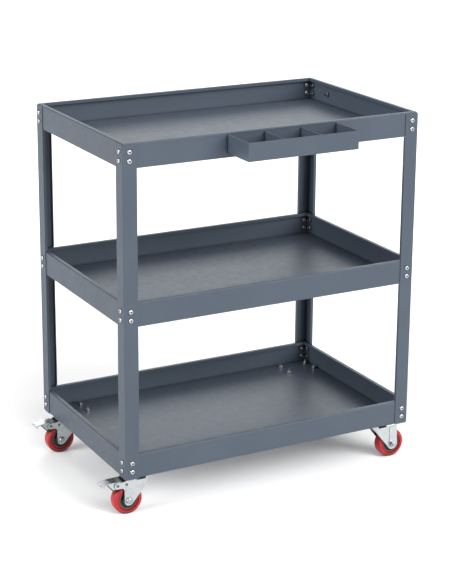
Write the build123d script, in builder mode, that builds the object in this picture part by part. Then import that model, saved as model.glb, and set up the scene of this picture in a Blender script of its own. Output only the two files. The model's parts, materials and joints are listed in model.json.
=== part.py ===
"""Three-tray steel tool cart on four swivel casters, with a parts bin on the front of the top tray.

Millimetres. +Z is up, +X runs along the cart away from the brake pedals, and -Y is the side with the
parts bin. The origin is on the floor, under the middle of the whole cart's box.
"""
from build123d import *
from math import cos, radians, sin
import os

# ---------------------------------------------------------------- frame: posts and trays
cart_length = 750.0        # over the outer faces of the posts, along X
cart_width = 480.0         # over the outer faces of the posts, along Y
tray_underside = 100.0     # lowest tray's underside above the floor
tray_pitch = 355.0         # from one tray to the next
tray_count = 3
rim_height = 56.0
tray_sheet = 1.2
tray_corner = 3.0          # bend radius at a tray's upright corners
rim_bend = 2.5             # bend radius along a rim's top edge
hem_width = 10.0           # inward return along the top of each rim
hem_drop = 7.0             # height of the return's down-turned lip

post_leg = 34.0
post_sheet = 1.5
post_bend = 2.5
post_lip = 7.0             # inward lip along each free edge, between the trays
post_end_round = 5.0       # height of the rounding where a leg's end meets the bend
post_face_run = 5.0        # how far it runs along a leg that faces the front or the rear
post_side_run = 10.0       # the same along a leg that faces an end of the cart
lip_gap = 1.5              # between a lip's end and the tray next to it
post_top_drop = 2.5        # the post's top, below the top tray's rim
post_below = 2.0           # the post's foot, below the lowest tray

# ---------------------------------------------------------------- M6 screws and nuts
bolt_r = 3.0
bolt_hole_r = 3.2
bolt_head_r = 5.5
bolt_head_h = 3.2
bolt_head_round = 2.4
bolt_length = 12.0
socket_depth = 2.2
socket_flats = 4.0
nut_flats = 10.0
nut_h = 5.0
nut_bore_r = 3.05
nut_chamfer = 0.5
bolt_from_corner = 16.5    # from the post's outer corner to its bolts
bolt_drop = (19.0, 39.0)   # below the rim's top

# ---------------------------------------------------------------- parts bin
bin_length = 277.0
bin_depth = 96.0
bin_height = 41.5
bin_centre_x = 15.5
bin_below_rim = 4.5        # the bin's top edge, below the top tray's rim
bin_corner = 1.5
compartments = 3
divider_sheet = 1.0
divider_foot = 9.0
divider_drop = 1.5         # the divider's top edge, below the bin's
bin_bolt_x = 92.0          # each side of the bin's middle
bin_bolt_up = 9.0          # above the bin's underside

# ---------------------------------------------------------------- two fixings through the far end's rim
end_bolt_y = 152.0
end_bolt_drop = 29.0

# ---------------------------------------------------------------- casters
caster_x = 324.0           # kingpins, from the cart's middle
caster_y = 196.0
plate_length = 95.0
plate_width = 65.0
plate_thick = 3.0
plate_corner = 8.0
plate_hole_x = 75.0        # hole to hole
plate_hole_y = 45.0
plate_hole_r = 3.3
caster_bolt_length = 14.0  # heads under the plates, ends up through the bottom tray

wheel_r = 35.0
tyre_width = 25.0
tyre_shoulder = 5.5
tyre_inner_r = 21.5
tyre_groove = 1.6          # step between the tread's side wall and its root
hub_width = 27.0
hub_rim = 2.5
hub_rim_width = 20.0
hub_web_width = 12.0
hub_boss_r = 14.0
bearing_r = 11.0
bearing_width = 7.0
hub_bore_r = 8.5
sleeve_r = 6.0
running_gap = 0.05         # radial gap of a shaft in its bearing
axle_r = 4.0
axle_head_r = 7.5
axle_head_h = 3.6
axle_head_round = 2.9
axle_nut_flats = 13.0
axle_nut_h = 6.5
axle_end = 2.0

trail = 30.0               # from kingpin to axle
fork_inside = 30.0
fork_sheet = 2.2
fork_front = 24.0          # the fork's nose, ahead of the kingpin
fork_nose_round = 12.0
fork_nose_lip = 6.0        # depth of the nose before the legs slope back
fork_back = 41.0           # the crown's rear edge, behind the kingpin
fork_back_slope = 8.0      # the crown's rear edge leans forward by this over a braked fork's arm
fork_top = 87.0            # top of the crown above the floor
fork_foot_r = 13.5         # round end about the axle
brake_foot_r = 11.5        # the same on a braked fork
fork_slant = 35.0          # degrees; where the leg's front edge meets the round end
fork_top_round = 2.0
leg_boss = 1.0             # raised rib or pad on each leg
rib_width = 19.0
rib_below = 6.0            # the rib's top, below the crown's
fork_arm_top = 83.0        # top edge of a braked fork's arm
fork_arm_low = 68.0
fork_arm_reach = 65.5      # the arm's tip, behind the kingpin
fork_arm_round = 7.2

kingpin_r = 5.0
kingpin_head_r = 9.0
kingpin_head_h = 2.5
ball_r = 2.75
ball_track_r = 12.5
ball_count = 12
seat_in_r = 9.3            # ring on the crown that carries the balls
seat_out_r = 15.5
seat_rise = 4.5
cup_r = 20.0
cup_inner_r = 18.0
boss_r = 8.5
dish_r = 20.6              # round recess of the crown around the cup
dish_depth = 5.0
play = 0.3                 # gap between a fixed face and a turning one

# ---------------------------------------------------------------- brake
pin_x = 58.0               # pedal's pivot, behind the kingpin
pin_z = 76.0
pin_r = 2.5
pin_head_r = 3.2
pin_head_h = 1.0
stop_x = 36.5              # second rivet through the legs
pedal_sheet = 2.0
pedal_start = 46.0
pedal_knee = 74.0
pedal_tip = 97.0
pedal_high = 84.6          # top of the flat part
pedal_low = 81.2           # top at the tip
pedal_curl = (91.0, 74.0)  # end of the tip's curled lip
pedal_notch = 4.0
pedal_corner = 4.0
ear_sheet = 2.0
ear_inset = 1.0            # between an ear and the fork leg beside it
ear_r = 5.5
ear_outline = (            # (along, up) from the pivot
    (-5.5, 7.0), (22.0, 6.6), (21.0, 2.6), (9.5, -9.2), (2.0, -7.0), (-5.5, 0.0),
)
shoe_width = 20.0
shoe_bore_r = 2.55
shoe_outline = (           # (along, up) from the pivot
    (-5.0, 4.5), (14.0, 4.5), (22.0, 1.0), (10.5, -11.5), (2.5, -17.5), (-5.0, -4.0),
)

# ---------------------------------------------------------------- worked out from the above
fork_width = fork_inside + 2 * fork_sheet
tray_length = cart_length - 2 * post_sheet
tray_width = cart_width - 2 * post_sheet
undersides = [tray_underside + i * tray_pitch for i in range(tray_count)]
rim_tops = [z + rim_height for z in undersides]
post_foot = tray_underside - post_below
post_top = rim_tops[-1] - post_top_drop
bin_top = rim_tops[-1] - bin_below_rim
bin_under = bin_top - bin_height
bin_bolt_z = bin_under + bin_bolt_up
bin_back_y = -tray_width / 2
bin_mid_y = bin_back_y - bin_depth / 2
plate_z = tray_underside - plate_thick
crown_z = fork_top - fork_sheet
dish_z = fork_top - dish_depth
seat_top = dish_z + seat_rise
cup_low = dish_z + 2 * play

# The cart's middle, so that the whole box is centred over the origin.
reach_left = caster_x + pedal_tip
reach_right = caster_x + trail + wheel_r
reach_front = tray_width / 2 + bin_depth
reach_back = cart_width / 2 + bolt_head_h
cart_x = (reach_left - reach_right) / 2
cart_y = (reach_front - reach_back) / 2

ends = (-1, 1)
parts_folder = "parts"
os.makedirs(parts_folder, exist_ok=True)


def save(part, name):
    """Label one finished node and write it."""
    part.label = name
    export_step(part, f"{parts_folder}/{name}.step")


def level(z, x=0.0, y=0.0):
    """Horizontal plane at height z, its origin at (x, y) from the cart's middle."""
    return Plane(origin=(cart_x + x, cart_y + y, z), x_dir=(1, 0, 0), z_dir=(0, 0, 1))


def facing_down(z, x, y):
    """Horizontal plane at height z that faces the floor."""
    return Plane(origin=(cart_x + x, cart_y + y, z), x_dir=(1, 0, 0), z_dir=(0, 0, -1))


def facing_y(y, side=-1):
    """Upright plane across Y whose local Y is up, facing side."""
    return Plane(origin=(cart_x, cart_y + y, 0), x_dir=(-side, 0, 0), z_dir=(0, side, 0))


def facing_x(x, side=1):
    """Upright plane across X whose local Y is up, facing side."""
    return Plane(origin=(cart_x + x, cart_y, 0), x_dir=(0, side, 0), z_dir=(side, 0, 0))


# ================================================================ trays
def make_tray(underside):
    """Folded tray: floor, four rims, and a hem that turns in and down along their top."""
    top = underside + rim_height
    clear_length = tray_length - 2 * tray_sheet
    clear_width = tray_width - 2 * tray_sheet
    open_length = tray_length - 2 * hem_width
    open_width = tray_width - 2 * hem_width
    with BuildPart() as tray:
        with BuildSketch(level(underside)):
            RectangleRounded(tray_length, tray_width, tray_corner)
        extrude(amount=rim_height)
        fillet(tray.faces().sort_by(Axis.Z)[-1].edges(), rim_bend)
        with BuildSketch(level(underside + tray_sheet)):
            RectangleRounded(clear_length, clear_width, tray_corner - tray_sheet)
        extrude(amount=rim_height - 2 * tray_sheet, mode=Mode.SUBTRACT)
        with BuildSketch(level(top - tray_sheet)):
            Rectangle(open_length, open_width)
        extrude(amount=tray_sheet, mode=Mode.SUBTRACT)
        with BuildSketch(level(top - hem_drop)):
            Rectangle(open_length + 2 * tray_sheet, open_width + 2 * tray_sheet)
            Rectangle(open_length, open_width, mode=Mode.SUBTRACT)
        extrude(amount=hem_drop - tray_sheet)
        heights = [top - drop for drop in bolt_drop]
        long_x = cart_length / 2 - bolt_from_corner
        with BuildSketch(facing_y(0)):
            with Locations([(s * long_x, z) for s in ends for z in heights]):
                Circle(bolt_hole_r)
        extrude(amount=cart_width, both=True, mode=Mode.SUBTRACT)
        short_y = cart_width / 2 - bolt_from_corner
        with BuildSketch(facing_x(0)):
            with Locations([(s * short_y, z) for s in ends for z in heights]):
                Circle(bolt_hole_r)
        extrude(amount=cart_length, both=True, mode=Mode.SUBTRACT)
        if underside == undersides[0]:
            with BuildSketch(level(underside)):
                with Locations([(s * caster_x, t * caster_y) for s in ends for t in ends]):
                    with GridLocations(plate_hole_x, plate_hole_y, 2, 2):
                        Circle(plate_hole_r)
            extrude(amount=tray_sheet, mode=Mode.SUBTRACT)
        if underside == undersides[-1]:
            with BuildSketch(facing_y(-tray_width / 2)):
                with Locations([(bin_centre_x + s * bin_bolt_x, bin_bolt_z) for s in ends]):
                    Circle(bolt_hole_r)
            extrude(amount=-tray_sheet, mode=Mode.SUBTRACT)
            with BuildSketch(facing_x(tray_length / 2)):
                with Locations([(s * end_bolt_y, top - end_bolt_drop) for s in ends]):
                    Circle(bolt_hole_r)
            extrude(amount=-tray_sheet, mode=Mode.SUBTRACT)
    return tray.part


for tray_name, tray_z in zip(("bottom_tray", "middle_tray", "top_tray"), undersides):
    save(make_tray(tray_z), tray_name)


# ================================================================ posts
def make_post(sx, sy):
    """Bent angle with an inward lip on each free edge, cut away where a tray passes."""
    out_x = cart_length / 2
    out_y = cart_width / 2
    height = post_top - post_foot
    inner = post_leg - post_sheet
    with BuildPart() as post:
        with BuildSketch(level(post_foot)):
            with Locations((sx * (out_x - post_leg / 2), sy * (out_y - post_leg / 2))):
                Rectangle(post_leg, post_leg)
            with Locations((sx * (out_x - post_sheet - inner / 2), sy * (out_y - post_sheet - inner / 2))):
                Rectangle(inner, inner, mode=Mode.SUBTRACT)
        extrude(amount=height)
        corner = (cart_x + sx * out_x, cart_y + sy * out_y, 0)
        fillet(post.edges().filter_by(Axis.Z).sort_by_distance(corner)[0], post_bend)
        for low, high in zip(rim_tops[:-1], undersides[1:]):
            with BuildSketch(level(low + lip_gap)):
                with Locations((sx * (out_x - post_leg + post_sheet / 2), sy * (out_y - post_lip / 2))):
                    Rectangle(post_sheet, post_lip)
                with Locations((sx * (out_x - post_lip / 2), sy * (out_y - post_leg + post_sheet / 2))):
                    Rectangle(post_lip, post_sheet)
            extrude(amount=high - low - 2 * lip_gap)
        for end_z, up in ((post_foot, 1), (post_top, -1)):
            corner_z = end_z + up * post_end_round
            for plane, flip, reach, run in (
                (facing_y(sy * out_y, sy), -sx * sy, out_x, post_face_run),
                (facing_x(sx * out_x, sx), sx * sy, out_y, post_side_run),
            ):
                with BuildSketch(plane):
                    with Locations((flip * (reach - run / 2), end_z + up * post_end_round / 2)):
                        Rectangle(run, post_end_round)
                    with Locations((flip * (reach - run), corner_z)):
                        Ellipse(run, post_end_round, mode=Mode.SUBTRACT)
                extrude(amount=-post_sheet, mode=Mode.SUBTRACT)
        for rim_top in rim_tops:
            heights = [rim_top - drop for drop in bolt_drop]
            with BuildSketch(facing_y(sy * out_y)):
                with Locations([(sx * (out_x - bolt_from_corner), z) for z in heights]):
                    Circle(bolt_hole_r)
            extrude(amount=post_sheet, both=True, mode=Mode.SUBTRACT)
            with BuildSketch(facing_x(sx * out_x)):
                with Locations([(sy * (out_y - bolt_from_corner), z) for z in heights]):
                    Circle(bolt_hole_r)
            extrude(amount=post_sheet, both=True, mode=Mode.SUBTRACT)
    return post.part


for sx, end_name in ((-1, "left"), (1, "right")):
    for sy, side_name in ((-1, "front"), (1, "rear")):
        save(make_post(sx, sy), f"post_{side_name}_{end_name}")


# ================================================================ screws and nuts
def make_bolt(length):
    """Button-head screw with a hex socket; its head sits on the XY plane and its shank points down."""
    with BuildPart() as bolt:
        with BuildSketch():
            Circle(bolt_head_r)
        extrude(amount=bolt_head_h)
        fillet(bolt.edges().sort_by(Axis.Z)[-1], bolt_head_round)
        with BuildSketch(Plane.XY.offset(bolt_head_h)):
            RegularPolygon(socket_flats / 2, 6, major_radius=False)
        extrude(amount=-socket_depth, mode=Mode.SUBTRACT)
        with BuildSketch():
            Circle(bolt_r)
        extrude(amount=-length)
    return bolt.part


def make_nut():
    """Hex nut under the XY plane, on the same axis as the screw."""
    with BuildPart() as nut:
        with BuildSketch():
            RegularPolygon(nut_flats / 2, 6, major_radius=False)
            Circle(nut_bore_r, mode=Mode.SUBTRACT)
        extrude(amount=-nut_h)
        chamfer(nut.faces().sort_by(Axis.Z)[0].outer_wire().edges(), nut_chamfer)
    return nut.part


def fixings(planes, piece):
    """One group of separate solids, a copy of piece on each plane."""
    return Compound(children=[plane.location * piece for plane in planes])


def wall_plane(x, y, z, normal):
    """Plane at a point of the cart, facing a horizontal normal."""
    return Plane(origin=(cart_x + x, cart_y + y, z), x_dir=(0, 0, 1), z_dir=normal)


post_planes = []
for rim_top in rim_tops:
    for drop in bolt_drop:
        for sx in ends:
            for sy in ends:
                along_x = sx * (cart_length / 2 - bolt_from_corner)
                along_y = sy * (cart_width / 2 - bolt_from_corner)
                post_planes.append(wall_plane(along_x, sy * cart_width / 2, rim_top - drop, (0, sy, 0)))
                post_planes.append(wall_plane(sx * cart_length / 2, along_y, rim_top - drop, (sx, 0, 0)))

bin_planes = [
    wall_plane(bin_centre_x + s * bin_bolt_x, bin_back_y - tray_sheet, bin_bolt_z, (0, -1, 0))
    for s in ends
]
end_planes = [
    wall_plane(tray_length / 2, s * end_bolt_y, rim_tops[-1] - end_bolt_drop, (1, 0, 0))
    for s in ends
]
frame_nut = make_nut()
nut_planes = [plane.offset(-post_sheet - tray_sheet) for plane in post_planes]
nut_planes += [plane.offset(-2 * tray_sheet) for plane in bin_planes]
nut_planes += [plane.offset(-tray_sheet) for plane in end_planes]
save(fixings(post_planes + bin_planes + end_planes, make_bolt(bolt_length)), "frame_bolts")
save(fixings(nut_planes, frame_nut), "frame_nuts")

bottom_floor = tray_underside + tray_sheet
caster_holes = [
    (s * caster_x + u * plate_hole_x / 2, t * caster_y + v * plate_hole_y / 2)
    for s in ends for t in ends for u in ends for v in ends
]
caster_bolt_planes = [facing_down(plate_z, *hole) for hole in caster_holes]
caster_nut_planes = [facing_down(bottom_floor, *hole) for hole in caster_holes]
save(fixings(caster_bolt_planes, make_bolt(caster_bolt_length)), "caster_bolts")
save(fixings(caster_nut_planes, frame_nut), "caster_nuts")

# ================================================================ parts bin
with BuildPart() as parts_bin:
    with BuildSketch(level(bin_under, bin_centre_x, bin_mid_y)):
        RectangleRounded(bin_length, bin_depth, bin_corner)
    extrude(amount=bin_height)
    with BuildSketch(level(bin_under + tray_sheet, bin_centre_x, bin_mid_y)):
        Rectangle(bin_length - 2 * tray_sheet, bin_depth - 2 * tray_sheet)
    extrude(amount=bin_height, mode=Mode.SUBTRACT)
    with BuildSketch(facing_y(bin_back_y)):
        with Locations([(bin_centre_x + s * bin_bolt_x, bin_bolt_z) for s in ends]):
            Circle(bolt_hole_r)
    extrude(amount=tray_sheet, both=True, mode=Mode.SUBTRACT)
save(parts_bin.part, "parts_bin")


def make_divider(x):
    """Upright sheet with a foot turned along the bin's floor."""
    depth = bin_depth - 2 * tray_sheet
    with BuildPart() as divider:
        with BuildSketch(level(bin_under + tray_sheet, x, bin_mid_y)):
            Rectangle(divider_sheet, depth)
        extrude(amount=bin_height - tray_sheet - divider_drop)
        with BuildSketch(level(bin_under + tray_sheet, x + divider_foot / 2, bin_mid_y)):
            Rectangle(divider_foot, depth)
        extrude(amount=divider_sheet)
    return divider.part


for i, divider_name in enumerate(("bin_divider_left", "bin_divider_right"), start=1):
    save(make_divider(bin_centre_x - bin_length / 2 + i * bin_length / compartments), divider_name)


# ================================================================ casters
def caster_level(x, y, way, z):
    """Horizontal plane on a caster's kingpin, local X pointing the way the wheel trails."""
    return Plane(origin=(cart_x + x, cart_y + y, z), x_dir=(way, 0, 0), z_dir=(0, 0, 1))


def caster_side(x, y, way, across=0.0):
    """Upright plane along the wheel: local X trails, local Y is up, at a distance across the fork."""
    origin = (cart_x + x, cart_y + y + way * across, 0)
    return Plane(origin=origin, x_dir=(way, 0, 0), z_dir=(0, -way, 0))


def make_plate(x, y, way):
    """Mounting plate with four holes, the cup over the ball race, and the kingpin's seat."""
    with BuildPart() as plate:
        with BuildSketch(caster_level(x, y, way, plate_z)):
            RectangleRounded(plate_length, plate_width, plate_corner)
            with GridLocations(plate_hole_x, plate_hole_y, 2, 2):
                Circle(plate_hole_r, mode=Mode.SUBTRACT)
        extrude(amount=plate_thick)
        with BuildSketch(caster_level(x, y, way, cup_low)):
            Circle(cup_r)
        extrude(amount=plate_z - cup_low)
        fillet(plate.edges().filter_by(GeomType.CIRCLE).group_by(Axis.Z)[0], fork_top_round)
        ceiling = seat_top + 2 * ball_r + play
        with BuildSketch(caster_level(x, y, way, cup_low)):
            Circle(cup_inner_r)
            Circle(boss_r, mode=Mode.SUBTRACT)
        extrude(amount=ceiling - cup_low, mode=Mode.SUBTRACT)
        with BuildSketch(caster_level(x, y, way, cup_low)):
            Circle(kingpin_r)
        extrude(amount=tray_underside - cup_low, mode=Mode.SUBTRACT)
        with BuildSketch(caster_level(x, y, way, tray_underside)):
            Circle(kingpin_head_r)
        extrude(amount=-kingpin_head_h, mode=Mode.SUBTRACT)
    return plate.part


def make_kingpin(x, y, way):
    """Rivet that holds the fork under the plate."""
    with BuildPart() as kingpin:
        with BuildSketch(caster_level(x, y, way, tray_underside)):
            Circle(kingpin_head_r)
        extrude(amount=-kingpin_head_h)
        low = dish_z - fork_sheet - play - kingpin_head_h
        with BuildSketch(caster_level(x, y, way, low)):
            Circle(kingpin_r)
        extrude(amount=tray_underside - low)
        with BuildSketch(caster_level(x, y, way, low)):
            Circle(kingpin_head_r)
        extrude(amount=kingpin_head_h)
        fillet(kingpin.edges().group_by(Axis.Z)[0], kingpin_head_h / 2)
    return kingpin.part


def make_balls(x, y, way):
    """Balls between the fork's crown and the cup."""
    with BuildPart() as balls:
        with Locations(caster_level(x, y, way, seat_top + ball_r)):
            with PolarLocations(ball_track_r, ball_count):
                Sphere(ball_r)
    return balls.part


def fork_outline(braked):
    """Side view of a leg about its round foot; a braked fork has an arm that reaches over the wheel."""
    foot_r = brake_foot_r if braked else fork_foot_r
    back_x = trail + foot_r
    if braked:
        back = [
            (back_x, wheel_r),
            (back_x, fork_arm_low),
            (fork_arm_reach, fork_arm_low),
            (fork_arm_reach, fork_arm_top),
            (fork_back, fork_arm_top),
            (fork_back - fork_back_slope, fork_top),
        ]
    else:
        back = [(back_x, wheel_r), (fork_back, fork_top)]
    slant = radians(fork_slant)
    slant_foot = (trail - foot_r * cos(slant), wheel_r - foot_r * sin(slant))
    nose = [(-fork_front, fork_top), (-fork_front, fork_top - fork_nose_lip)]
    return back + nose + [slant_foot, (trail, wheel_r)]


def make_fork(x, y, way, braked):
    """Pressed fork: dished crown, ball seat, two legs, and a raised rib or pad on each leg."""
    side = caster_side(x, y, way)
    foot_r = brake_foot_r if braked else fork_foot_r
    plan_length = fork_arm_reach + fork_front + 2 * fork_nose_round
    plan_middle = plan_length / 2 - fork_front
    rib_top = fork_top - rib_below
    with BuildPart() as fork:
        with BuildSketch(side) as leg:
            with BuildLine():
                Polyline(fork_outline(braked), close=True)
            make_face()
            if braked:
                rounded = [(fork_arm_reach, fork_arm_low, 0), (fork_arm_reach, fork_arm_top, 0)]
                rounded.append((trail + foot_r, fork_arm_low, 0))
                fillet([leg.vertices().sort_by_distance(point)[0] for point in rounded], fork_arm_round)
            with Locations((trail, wheel_r)):
                Circle(foot_r)
        extrude(amount=fork_width / 2, both=True)
        with BuildSketch(caster_level(x, y, way, 0)):
            with Locations((plan_middle, 0)):
                RectangleRounded(plan_length, fork_width, fork_nose_round)
        extrude(amount=fork_top, mode=Mode.INTERSECT)
        fillet(fork.faces().sort_by(Axis.Z)[-1].edges(), fork_top_round)
        dish_under = dish_z - fork_sheet
        for low, high, dish in ((0, dish_under, 0), (dish_under, crown_z, dish_r + fork_sheet)):
            with BuildSketch(caster_level(x, y, way, low)):
                with Locations((plan_middle, 0)):
                    RectangleRounded(plan_length - 2 * fork_sheet, fork_inside, fork_nose_round - fork_sheet)
                if dish:
                    Circle(dish, mode=Mode.SUBTRACT)
            extrude(amount=high - low, mode=Mode.SUBTRACT)
        with BuildSketch(caster_level(x, y, way, dish_z)):
            Circle(dish_r)
            Circle(seat_out_r, mode=Mode.SUBTRACT)
        extrude(amount=dish_depth, mode=Mode.SUBTRACT)
        with BuildSketch(caster_level(x, y, way, dish_z)):
            Circle(seat_in_r)
        extrude(amount=dish_depth, mode=Mode.SUBTRACT)
        with BuildSketch(caster_level(x, y, way, seat_top)):
            Circle(seat_out_r)
        extrude(amount=dish_depth, mode=Mode.SUBTRACT)
        for across in ends:
            face = caster_side(x, y, way, across * fork_width / 2)
            with BuildSketch(face):
                with Locations((trail, wheel_r)):
                    Circle(rib_width / 2)
                if not braked:
                    with Locations((trail, (wheel_r + rib_top) / 2)):
                        Rectangle(rib_width, rib_top - wheel_r)
            extrude(amount=-across * leg_boss)
        with BuildSketch(side):
            with Locations((trail, wheel_r)):
                Circle(axle_r + running_gap)
            if braked:
                with Locations((pin_x, pin_z), (stop_x, pin_z)):
                    Circle(pin_r + running_gap)
        extrude(amount=fork_width, both=True, mode=Mode.SUBTRACT)
        with BuildSketch(caster_level(x, y, way, dish_under)):
            Circle(kingpin_r + running_gap)
        extrude(amount=fork_sheet, mode=Mode.SUBTRACT)
    return fork.part


def turned(x, y, way, outline):
    """Solid of revolution about the axle from (across, radius) points."""
    centre = (cart_x + x + way * trail, cart_y + y, wheel_r)
    with BuildPart() as ring:
        with BuildSketch(Plane(origin=centre, x_dir=(0, 1, 0), z_dir=(1, 0, 0))):
            with BuildLine():
                Polyline(outline, close=True)
            make_face()
        revolve(axis=Axis(centre, (0, 1, 0)))
    return ring


def make_tyre(x, y, way):
    """Moulded polyurethane tread, rounded at its shoulders and stepped in beside the hub."""
    half = tyre_width / 2
    step_r = tyre_inner_r + 2 * tyre_groove
    outline = [
        (-half, step_r), (-half, wheel_r), (half, wheel_r), (half, step_r),
        (half - tyre_groove, step_r), (half - tyre_groove, tyre_inner_r),
        (-half + tyre_groove, tyre_inner_r), (-half + tyre_groove, step_r),
    ]
    ring = turned(x, y, way, outline)
    with BuildPart() as tyre:
        add(ring.part)
        shoulders = tyre.edges().filter_by(GeomType.CIRCLE).sort_by(SortBy.RADIUS)[-2:]
        fillet(shoulders, tyre_shoulder)
    return tyre.part


def make_hub(x, y, way):
    """Hub with a rim, a thin web, a boss, and a bearing seat in each end."""
    rim = hub_rim_width / 2
    web = hub_web_width / 2
    boss = hub_width / 2
    seat = boss - bearing_width
    rim_r = tyre_inner_r - hub_rim
    right = [
        (rim, tyre_inner_r), (rim, rim_r), (web, rim_r), (web, hub_boss_r), (boss, hub_boss_r),
        (boss, bearing_r), (seat, bearing_r), (seat, hub_bore_r),
    ]
    left = [(-across, radius) for across, radius in reversed(right)]
    return turned(x, y, way, right + left).part


def make_bearings(x, y, way):
    """Two ball bearings, each as one ring, in the hub's seats."""
    centre = hub_width / 2 - bearing_width / 2
    rings = []
    for s in ends:
        low = s * centre - bearing_width / 2
        high = s * centre + bearing_width / 2
        bore = sleeve_r + running_gap
        outline = [(low, bore), (low, bearing_r), (high, bearing_r), (high, bore)]
        rings.append(turned(x, y, way, outline).part)
    return Compound(children=rings)


def make_sleeve(x, y, way):
    """Spacer tube that the legs clamp; the bearings turn on it."""
    with BuildPart() as sleeve:
        with BuildSketch(caster_side(x, y, way)):
            with Locations((trail, wheel_r)):
                Circle(sleeve_r)
                Circle(axle_r + running_gap, mode=Mode.SUBTRACT)
        extrude(amount=fork_inside / 2, both=True)
    return sleeve.part


def make_axle_bolt(x, y, way):
    """Axle with a low domed head on one leg and its threaded end past the other."""
    face = fork_width / 2 + leg_boss
    end = face + axle_nut_h + axle_end
    with BuildPart() as axle:
        with BuildSketch(caster_side(x, y, way, face)):
            with Locations((trail, wheel_r)):
                Circle(axle_head_r)
        extrude(amount=-axle_head_h)
        rim = axle.edges().filter_by(GeomType.CIRCLE).sort_by(Axis.Y)[-1 if way > 0 else 0]
        fillet(rim, axle_head_round)
        with BuildSketch(caster_side(x, y, way, face)):
            with Locations((trail, wheel_r)):
                Circle(axle_r)
        extrude(amount=face + end)
    return axle.part


def make_axle_nut(x, y, way):
    """Hex nut on the axle's far end."""
    face = fork_width / 2 + leg_boss
    with BuildPart() as nut:
        with BuildSketch(caster_side(x, y, way, -face)):
            with Locations((trail, wheel_r)):
                RegularPolygon(axle_nut_flats / 2, 6, major_radius=False)
                Circle(axle_r + running_gap, mode=Mode.SUBTRACT)
        extrude(amount=axle_nut_h)
    return nut.part


def make_pedal(x, y, way):
    """Foot pedal: a channel between the fork's arms with two deep ears and a curled, notched tip."""
    side = caster_side(x, y, way)
    curl_x, curl_z = pedal_curl
    half = fork_inside / 2 - ear_inset
    profile = [
        (pedal_start, pedal_high), (pedal_knee, pedal_high), (pedal_tip - pedal_sheet / 2, pedal_low),
        (pedal_tip, pedal_low - pedal_sheet), pedal_curl, (curl_x - pedal_sheet / 2, curl_z + pedal_sheet),
        (pedal_tip - 2 * pedal_sheet, pedal_low - pedal_sheet), (pedal_knee, pedal_high - pedal_sheet),
        (pedal_start, pedal_high - pedal_sheet),
    ]
    with BuildPart() as pedal:
        with BuildSketch(side):
            with BuildLine():
                Polyline(profile, close=True)
            make_face()
        extrude(amount=half, both=True)
        with BuildSketch(caster_level(x, y, way, 0)):
            with Locations(((pedal_start + pedal_tip) / 2, 0)):
                RectangleRounded(pedal_tip - pedal_start, 2 * half, pedal_corner)
            with Locations((pedal_tip, 0)):
                Circle(pedal_notch, mode=Mode.SUBTRACT)
        extrude(amount=fork_top, mode=Mode.INTERSECT)
        for across in ends:
            with BuildSketch(caster_side(x, y, way, across * half)):
                with BuildLine():
                    Polyline([(pin_x + along, pin_z + up) for along, up in ear_outline], close=True)
                make_face()
                with Locations((pin_x, pin_z)):
                    Circle(ear_r)
            extrude(amount=across * ear_sheet)
        with BuildSketch(side):
            with Locations((pin_x, pin_z)):
                Circle(shoe_bore_r)
        extrude(amount=fork_width, both=True, mode=Mode.SUBTRACT)
    return pedal.part


def make_brake_pins(x, y, way):
    """The pedal's pivot and the second rivet, headed outside both legs."""
    pins = []
    for along in (pin_x, stop_x):
        with BuildPart() as pin:
            with BuildSketch(caster_side(x, y, way)):
                with Locations((along, pin_z)):
                    Circle(pin_r)
            extrude(amount=fork_width / 2 + pin_head_h / 2, both=True)
            for across in ends:
                with BuildSketch(caster_side(x, y, way, across * fork_width / 2)):
                    with Locations((along, pin_z)):
                        Circle(pin_head_r)
                extrude(amount=-across * pin_head_h)
            fillet(pin.edges().filter_by(GeomType.CIRCLE).group_by(Axis.Y)[0], pin_head_h / 2)
            fillet(pin.edges().filter_by(GeomType.CIRCLE).group_by(Axis.Y)[-1], pin_head_h / 2)
        pins.append(pin.part)
    return Compound(children=pins)


def make_shoe(x, y, way):
    """Nylon cam between the ears; pressing the pedal swings it on to the tread."""
    outline = [(pin_x + along, pin_z + up) for along, up in shoe_outline]
    with BuildPart() as shoe:
        with BuildSketch(caster_side(x, y, way)):
            with BuildLine():
                Polyline(outline, close=True)
            make_face()
            with Locations((pin_x, pin_z)):
                Circle(shoe_bore_r, mode=Mode.SUBTRACT)
        extrude(amount=shoe_width / 2, both=True)
    return shoe.part


casters = (
    ("front_left", -1, -1, True),
    ("rear_left", -1, 1, True),
    ("front_right", 1, -1, False),
    ("rear_right", 1, 1, False),
)
for corner, sx, sy, braked in casters:
    place = (sx * caster_x, sy * caster_y, sx)
    save(make_plate(*place), f"caster_plate_{corner}")
    save(make_kingpin(*place), f"kingpin_{corner}")
    save(make_balls(*place), f"swivel_balls_{corner}")
    save(make_fork(*place, braked), f"fork_{corner}")
    save(make_tyre(*place), f"tyre_{corner}")
    save(make_hub(*place), f"hub_{corner}")
    save(make_bearings(*place), f"wheel_bearings_{corner}")
    save(make_sleeve(*place), f"axle_sleeve_{corner}")
    save(make_axle_bolt(*place), f"axle_bolt_{corner}")
    save(make_axle_nut(*place), f"axle_nut_{corner}")
    if braked:
        save(make_pedal(*place), f"brake_pedal_{corner}")
        save(make_brake_pins(*place), f"brake_pins_{corner}")
        save(make_shoe(*place), f"brake_shoe_{corner}")
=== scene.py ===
"""Three-tray tool cart on swivel casters: materials, light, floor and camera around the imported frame."""
import json
import math

import bpy
from mathutils import Matrix, Vector


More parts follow.
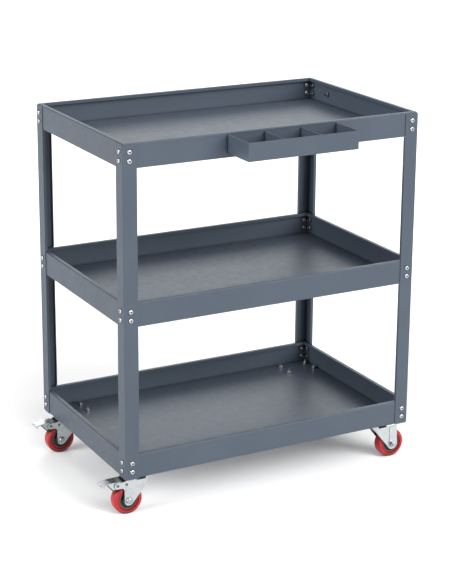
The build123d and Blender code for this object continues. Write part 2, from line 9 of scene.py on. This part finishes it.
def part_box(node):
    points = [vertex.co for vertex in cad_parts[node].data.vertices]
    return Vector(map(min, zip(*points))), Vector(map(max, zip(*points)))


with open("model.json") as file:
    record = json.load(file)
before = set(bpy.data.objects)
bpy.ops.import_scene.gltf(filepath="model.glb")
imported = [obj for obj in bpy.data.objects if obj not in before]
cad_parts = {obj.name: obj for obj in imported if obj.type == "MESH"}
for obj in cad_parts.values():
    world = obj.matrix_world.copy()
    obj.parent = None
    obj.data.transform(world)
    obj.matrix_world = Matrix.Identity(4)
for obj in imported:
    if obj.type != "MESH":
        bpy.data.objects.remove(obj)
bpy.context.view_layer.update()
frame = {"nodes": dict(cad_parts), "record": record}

nodes = frame["nodes"]
slot_of = {part["node"]: part["material_slot"] for part in frame["record"]["subparts"]}

# ---------------------------------------------------------------- driving values, metres and degrees
IMAGE_H = 584                   # height of the picture, in pixels
CAMERA_AZIMUTH = -28.24
CAMERA_ELEVATION = 15.92
CAMERA_ROLL = 0.38
CAMERA_DISTANCE = 4.4786
CAMERA_FOCAL = 1667.2           # in widths of one pixel
CAMERA_RISE = 60.0              # the optical axis, above the picture's middle, in pixels
AIM = (0.241, 0.4434, 0.4211)   # from the cart's middle, on the floor
SENSOR = 36.0
FAR = 100.0

WHEEL_WIDTH = 0.070
GROOVE_SHADE_IN = 0.0242        # radii of the painted shade line in the groove around each side of a tyre
GROOVE_SHADE_OUT = 0.0258
GROOVE_SHADE_SOFT = 0.00042
SWIVEL_SHADE_Z = 0.0965        # the casters' ball races lie below this height; zinc below it is painted near black as painted shade
SWIVEL_SHADE_SOFT = 0.0015
AXLE_SHADED_BRIGHTNESS = 0.72          # of the other zinc parts: a darker copy of the same zinc on the axle bolts, painted shade

WORLD_STRENGTH = 0.3
FLOOR_GLOW = 0.04
FLOOR_HALF = 30.0
SUN_WIDTH = 35.0
SUN_DISTANCE = 4.0
LIGHTS = (                      # name, azimuth, elevation, strength
    ("left", -88, 22, 2.7),
    ("left_high", -80, 40, 0.6),
    ("camera_side", -28, 20, 0.3),
    ("front_high", 0, 45, 1.6),
    ("right", 30, 24, 3.0),
    ("back_right", 152, 32, 0.7),
    ("back_high", 140, 45, 0.4),
)


# ================================================================ materials
class Paint:
    """Builds one node material around a Principled shader."""

    def __init__(self, name):
        self.material = bpy.data.materials.new(name)
        self.material.use_nodes = True
        self.tree = self.material.node_tree
        self.shader = self.tree.nodes["Principled BSDF"]
        self.coords = self.tree.nodes.new("ShaderNodeTexCoord").outputs["Object"]

    def link(self, a, b):
        self.tree.links.new(a, b)

    def noise(self, scale, detail=3.0, rough=0.5, stretch=None, distortion=0.0):
        """Noise in the object's own metres, stretched along an axis if asked."""
        texture = self.tree.nodes.new("ShaderNodeTexNoise")
        texture.inputs["Scale"].default_value = scale
        texture.inputs["Detail"].default_value = detail
        texture.inputs["Roughness"].default_value = rough
        texture.inputs["Distortion"].default_value = distortion
        source = self.coords
        if stretch:
            mapping = self.tree.nodes.new("ShaderNodeMapping")
            mapping.inputs["Scale"].default_value = stretch
            self.link(source, mapping.inputs["Vector"])
            source = mapping.outputs["Vector"]
        self.link(source, texture.inputs["Vector"])
        return texture.outputs["Fac"]

    def cells(self, scale):
        texture = self.tree.nodes.new("ShaderNodeTexVoronoi")
        texture.feature = "F1"
        texture.inputs["Scale"].default_value = scale
        self.link(self.coords, texture.inputs["Vector"])
        return texture.outputs["Distance"]

    def ramp(self, fac, stops):
        """Colour ramp from (position, colour) stops."""
        node = self.tree.nodes.new("ShaderNodeValToRGB")
        elements = node.color_ramp.elements
        while len(elements) < len(stops):
            elements.new(0.5)
        for element, (position, colour) in zip(elements, stops):
            element.position = position
            element.color = (*colour, 1.0)
        self.link(fac, node.inputs["Fac"])
        return node.outputs["Color"]

    def span(self, fac, low, high, start=0.3, end=0.7):
        """Maps noise on to a range of numbers."""
        node = self.tree.nodes.new("ShaderNodeMapRange")
        node.inputs["From Min"].default_value = start
        node.inputs["From Max"].default_value = end
        node.inputs["To Min"].default_value = low
        node.inputs["To Max"].default_value = high
        self.link(fac, node.inputs["Value"])
        return node.outputs["Result"]

    def mix(self, fac, a, b, blend="MIX"):
        node = self.tree.nodes.new("ShaderNodeMix")
        node.data_type = "RGBA"
        node.blend_type = blend
        for value, key in ((fac, "Factor"), (a, "A"), (b, "B")):
            socket = node.inputs[key]
            if isinstance(value, bpy.types.NodeSocket):
                self.link(value, socket)
            elif isinstance(value, float):
                socket.default_value = value
            else:
                socket.default_value = (*value, 1.0)
        return node.outputs["Result"]

    def height(self, low, high):
        """0 below one height of the object's own space, 1 above another."""
        split = self.tree.nodes.new("ShaderNodeSeparateXYZ")
        self.link(self.coords, split.inputs["Vector"])
        return self.span(split.outputs["Z"], 0.0, 1.0, low, high)

    def ring(self, inner, outer, soft):
        """1 between two radii about a wheel's axle, in widths of the part's own box; 0 elsewhere."""
        generated = self.tree.nodes.new("ShaderNodeTexCoord").outputs["Generated"]
        across = self.tree.nodes.new("ShaderNodeVectorMath")
        across.operation = "SUBTRACT"
        across.inputs[1].default_value = (0.5, 0.5, 0.5)
        self.link(generated, across.inputs[0])
        flat = self.tree.nodes.new("ShaderNodeVectorMath")
        flat.operation = "MULTIPLY"
        flat.inputs[1].default_value = (1.0, 0.0, 1.0)
        self.link(across.outputs["Vector"], flat.inputs[0])
        length = self.tree.nodes.new("ShaderNodeVectorMath")
        length.operation = "LENGTH"
        self.link(flat.outputs["Vector"], length.inputs[0])
        radius = length.outputs["Value"]
        both = self.tree.nodes.new("ShaderNodeMath")
        both.operation = "MULTIPLY"
        self.link(self.span(radius, 0.0, 1.0, inner - soft, inner), both.inputs[0])
        self.link(self.span(radius, 1.0, 0.0, outer, outer + soft), both.inputs[1])
        return both.outputs["Value"]

    def occlusion_shade(self, colour, reach, dark, low=0.3, high=0.85):
        """Painted shade: darkens a colour by ambient occlusion in joints and folds narrower than reach."""
        node = self.tree.nodes.new("ShaderNodeAmbientOcclusion")
        node.samples = 8
        node.inputs["Distance"].default_value = reach
        shade = self.ramp(node.outputs["AO"], [(low, dark), (high, (1.0, 1.0, 1.0))])
        return self.mix(1.0, colour, shade, "MULTIPLY")

    def bump(self, heights):
        """Stacks bumps from (height, distance in metres) pairs on the shader's normal."""
        normal = None
        for height, distance in heights:
            node = self.tree.nodes.new("ShaderNodeBump")
            node.inputs["Strength"].default_value = 1.0
            node.inputs["Distance"].default_value = distance
            self.link(height, node.inputs["Height"])
            if normal:
                self.link(normal, node.inputs["Normal"])
            normal = node.outputs["Normal"]
        self.link(normal, self.shader.inputs["Normal"])

    def set(self, **sockets):
        """Values or links on the shader's sockets; underscores stand for spaces."""
        for key, value in sockets.items():
            socket = self.shader.inputs[key.replace("_", " ")]
            if isinstance(value, bpy.types.NodeSocket):
                self.link(value, socket)
            else:
                socket.default_value = value


def scaled(colour, k):
    return tuple(c * k for c in colour)


def powder_coat():
    """Slate blue-grey powder coat: fine orange peel, faint blotches, thin clear gloss."""
    p = Paint("paint_slate")
    base = (0.0485, 0.063, 0.084)
    blotch = p.ramp(p.noise(9.0, 4.0, 0.55), [(0.3, scaled(base, 0.95)), (0.7, scaled(base, 1.05))])
    speck = p.ramp(p.noise(1400.0, 2.0, 0.6), [(0.35, (0.93,) * 3), (0.65, (1.06,) * 3)])
    coat = p.mix(1.0, blotch, speck, "MULTIPLY")
    # painted shade: ambient occlusion darkens the coat in seams and folds
    p.set(Base_Color=p.occlusion_shade(coat, 0.009, (0.18, 0.18, 0.19)))
    p.set(Roughness=p.span(p.noise(60.0, 3.0), 0.4, 0.48))
    p.set(Metallic=0.0, IOR=1.5, Specular_IOR_Level=0.28)
    p.bump([(p.noise(520.0, 2.0, 0.5), 0.00008), (p.noise(1900.0, 1.0, 0.5), 0.00003)])
    return p.material


def zinc_plate(name="zinc_bright", bright=1.0, shade_below=0.0):
    """Bright zinc over pressed steel: cloudy, with rolling lines; painted shade in folds, and painted dark
    shade below a height if asked.
    """
    p = Paint(name)
    base = scaled((0.5, 0.53, 0.54), bright)
    clouds = p.noise(70.0, 4.0, 0.6, distortion=0.4)
    cloud = p.ramp(clouds, [(0.3, scaled(base, 0.88)), (0.7, scaled(base, 1.06))])
    lines = p.noise(900.0, 2.0, 0.5, stretch=(0.12, 1.0, 1.0))
    # painted shade: ambient occlusion darkens the zinc in folds and inside the fork legs
    plate = p.occlusion_shade(cloud, 0.014, (0.05, 0.055, 0.055), 0.35, 0.8)
    # painted shade: near black below a height, for the swivel race lying in the tray's shadow
    if shade_below:
        unshaded = p.height(shade_below - SWIVEL_SHADE_SOFT, shade_below)
        plate = p.mix(unshaded, (0.02, 0.02, 0.02), plate)
    p.set(Base_Color=plate, Metallic=1.0)
    p.set(Roughness=p.span(p.noise(160.0, 3.0, 0.6), 0.24, 0.4))
    p.bump([(lines, 0.00002), (p.noise(260.0, 2.0), 0.00005)])
    return p.material


def bright_screw():
    """Nickel-bright plated screws with light tooling marks."""
    p = Paint("screw_bright")
    base = (0.5, 0.51, 0.52)
    plate = p.ramp(p.noise(300.0, 3.0), [(0.3, scaled(base, 0.9)), (0.7, base)])
    # painted shade: ambient occlusion darkens the screws' sockets and recesses
    p.set(Base_Color=p.occlusion_shade(plate, 0.006, (0.02, 0.02, 0.025), 0.35, 0.8))
    p.set(Metallic=1.0, Roughness=p.span(p.noise(500.0, 3.0), 0.14, 0.26))
    p.bump([(p.noise(900.0, 2.0), 0.00002)])
    return p.material


def red_tread():
    """Red cast polyurethane: clear-looking satin skin, slightly scuffed where it rolls."""
    p = Paint("polyurethane_red")
    base = (0.31, 0.0084, 0.012)
    body = p.ramp(p.noise(45.0, 4.0, 0.55), [(0.3, scaled(base, 0.86)), (0.7, scaled(base, 1.1))])
    # painted shade: a dark ring on each side of the tyre where the groove's shadow falls
    groove_shade = p.ring(*(r / WHEEL_WIDTH for r in (GROOVE_SHADE_IN, GROOVE_SHADE_OUT, GROOVE_SHADE_SOFT)))
    body = p.mix(groove_shade, body, scaled(base, 0.12))
    # painted shade: ambient occlusion darkens the tread in recesses and beside the fork
    p.set(Base_Color=p.occlusion_shade(body, 0.02, (0.14, 0.09, 0.09), 0.35, 0.9))
    p.set(Roughness=p.span(p.noise(240.0, 4.0, 0.6), 0.26, 0.42))
    p.set(IOR=1.5, Specular_IOR_Level=0.35, Coat_Weight=0.06, Coat_Roughness=0.18)
    p.set(Subsurface_Weight=0.08)
    p.shader.inputs["Subsurface Radius"].default_value = (0.004, 0.0006, 0.0004)
    p.shader.inputs["Subsurface Scale"].default_value = 1.0
    p.bump([(p.noise(700.0, 3.0, 0.6), 0.00003)])
    return p.material


def dark_core():
    """Dark moulded plastic of the wheel's core."""
    p = Paint("core_dark")
    base = (0.034, 0.038, 0.03)
    core = p.ramp(p.noise(120.0, 4.0), [(0.3, scaled(base, 0.8)), (0.7, scaled(base, 1.3))])
    # painted shade: ambient occlusion darkens the core in recesses and beside the fork
    p.set(Base_Color=p.occlusion_shade(core, 0.012, (0.2, 0.2, 0.2)))
    p.set(Roughness=p.span(p.noise(400.0, 3.0), 0.42, 0.58))
    p.bump([(p.cells(1500.0), 0.00004)])
    return p.material


def black_nylon():
    p = Paint("nylon_black")
    base = (0.014, 0.014, 0.015)
    p.set(Base_Color=p.ramp(p.noise(200.0, 3.0), [(0.3, scaled(base, 0.8)), (0.7, scaled(base, 1.4))]))
    p.set(Roughness=p.span(p.noise(500.0, 3.0), 0.38, 0.52))
    p.bump([(p.noise(1300.0, 2.0), 0.00004)])
    return p.material


def dark_rivet():
    """Rivets in dark plated steel, a little brighter where they are rubbed."""
    p = Paint("rivet_dark")
    base = (0.13, 0.14, 0.14)
    p.set(Base_Color=p.ramp(p.noise(600.0, 3.0), [(0.3, scaled(base, 0.7)), (0.7, scaled(base, 1.3))]))
    p.set(Metallic=1.0, Roughness=p.span(p.noise(700.0, 3.0), 0.3, 0.45))
    p.bump([(p.noise(1200.0, 2.0), 0.00002)])
    return p.material


def ground_steel():
    """Bearing steel with fine turning lines."""
    p = Paint("steel_ground")
    base = (0.55, 0.55, 0.56)
    p.set(Base_Color=p.ramp(p.noise(250.0, 3.0), [(0.3, scaled(base, 0.85)), (0.7, scaled(base, 1.1))]))
    p.set(Metallic=1.0, Roughness=p.span(p.noise(800.0, 3.0), 0.2, 0.34))
    p.bump([(p.noise(1500.0, 1.0, stretch=(1.0, 4.0, 1.0)), 0.00002)])
    return p.material


finishes = {
    "frame_paint": powder_coat(),
    "screws": bright_screw(),
    "zinc": zinc_plate(),
    "tread": red_tread(),
    "wheel_core": dark_core(),
    "brake_nylon": black_nylon(),
    "rivet_steel": dark_rivet(),
    "bearing_steel": ground_steel(),
}
own_finish = {                  # by the start of the node's name
    "caster_plate": zinc_plate("zinc_swivel_plate_shade_below", shade_below=SWIVEL_SHADE_Z),
    "axle_bolt": zinc_plate("zinc_axle_bolt_shaded", bright=AXLE_SHADED_BRIGHTNESS),
}
for name, obj in nodes.items():
    finish = finishes[slot_of[name]]
    for start, own in own_finish.items():
        if name.startswith(start):
            finish = own
    obj.data.materials.clear()
    obj.data.materials.append(finish)


# ================================================================ stage
def make_floor():
    mesh = bpy.data.meshes.new("floor")
    h = FLOOR_HALF
    mesh.from_pydata([(-h, -h, 0), (h, -h, 0), (h, h, 0), (-h, h, 0)], [], [(0, 1, 2, 3)])
    floor = bpy.data.objects.new("floor", mesh)
    bpy.context.scene.collection.objects.link(floor)
    p = Paint("floor_pale")
    p.set(Base_Color=p.ramp(p.noise(1.5, 2.0), [(0.3, (0.84, 0.84, 0.84)), (0.7, (0.86, 0.86, 0.86))]))
    p.set(Roughness=0.9, Specular_IOR_Level=0.0)
    p.set(Emission_Color=(1, 1, 1, 1), Emission_Strength=FLOOR_GLOW)
    mesh.materials.append(p.material)


def direction(around, rise):
    """Unit vector from the cart towards an azimuth, 0 at the front and positive to the right."""
    level = math.cos(rise)
    return Vector((math.sin(around) * level, -math.cos(around) * level, math.sin(rise)))


def make_sun(name, azimuth, elevation, strength):
    """Broad, soft light from a direction."""
    towards = direction(math.radians(azimuth), math.radians(elevation))
    data = bpy.data.lights.new(name, "SUN")
    data.energy = strength
    data.angle = math.radians(SUN_WIDTH)
    light = bpy.data.objects.new(name, data)
    light.location = towards * SUN_DISTANCE
    light.rotation_mode = "QUATERNION"
    light.rotation_quaternion = towards.to_track_quat("Z", "Y")
    bpy.context.scene.collection.objects.link(light)


make_floor()
world = bpy.data.worlds.new("studio")
world.use_nodes = True
world.node_tree.nodes["Background"].inputs["Color"].default_value = (1, 1, 1, 1)
world.node_tree.nodes["Background"].inputs["Strength"].default_value = WORLD_STRENGTH
bpy.context.scene.world = world
for light_name, light_azimuth, light_elevation, light_strength in LIGHTS:
    make_sun(light_name, light_azimuth, light_elevation, light_strength)

tray_low, tray_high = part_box("top_tray")
middle = (tray_low + tray_high) / 2

# ================================================================ camera
azimuth, elevation, roll = (math.radians(a) for a in (CAMERA_AZIMUTH, CAMERA_ELEVATION, CAMERA_ROLL))
back = direction(azimuth, elevation)
right = (-back).cross(Vector((0, 0, 1))).normalized()
up = right.cross(-back)
rolled_right = right * math.cos(roll) + up * math.sin(roll)
rolled_up = up * math.cos(roll) - right * math.sin(roll)
camera_data = bpy.data.cameras.new("camera")
camera_data.sensor_width = SENSOR
camera_data.lens = CAMERA_FOCAL * SENSOR / IMAGE_H
camera_data.shift_y = -CAMERA_RISE / IMAGE_H
camera_data.clip_end = FAR
camera = bpy.data.objects.new("camera", camera_data)
place = Vector((middle.x + AIM[0], middle.y + AIM[1], AIM[2])) + back * CAMERA_DISTANCE
turn = Matrix((rolled_right, rolled_up, back)).transposed().to_4x4()
camera.matrix_world = Matrix.Translation(place) @ turn
bpy.context.scene.collection.objects.link(camera)
bpy.context.scene.camera = camera
bpy.context.scene.view_settings.view_transform = "Standard"
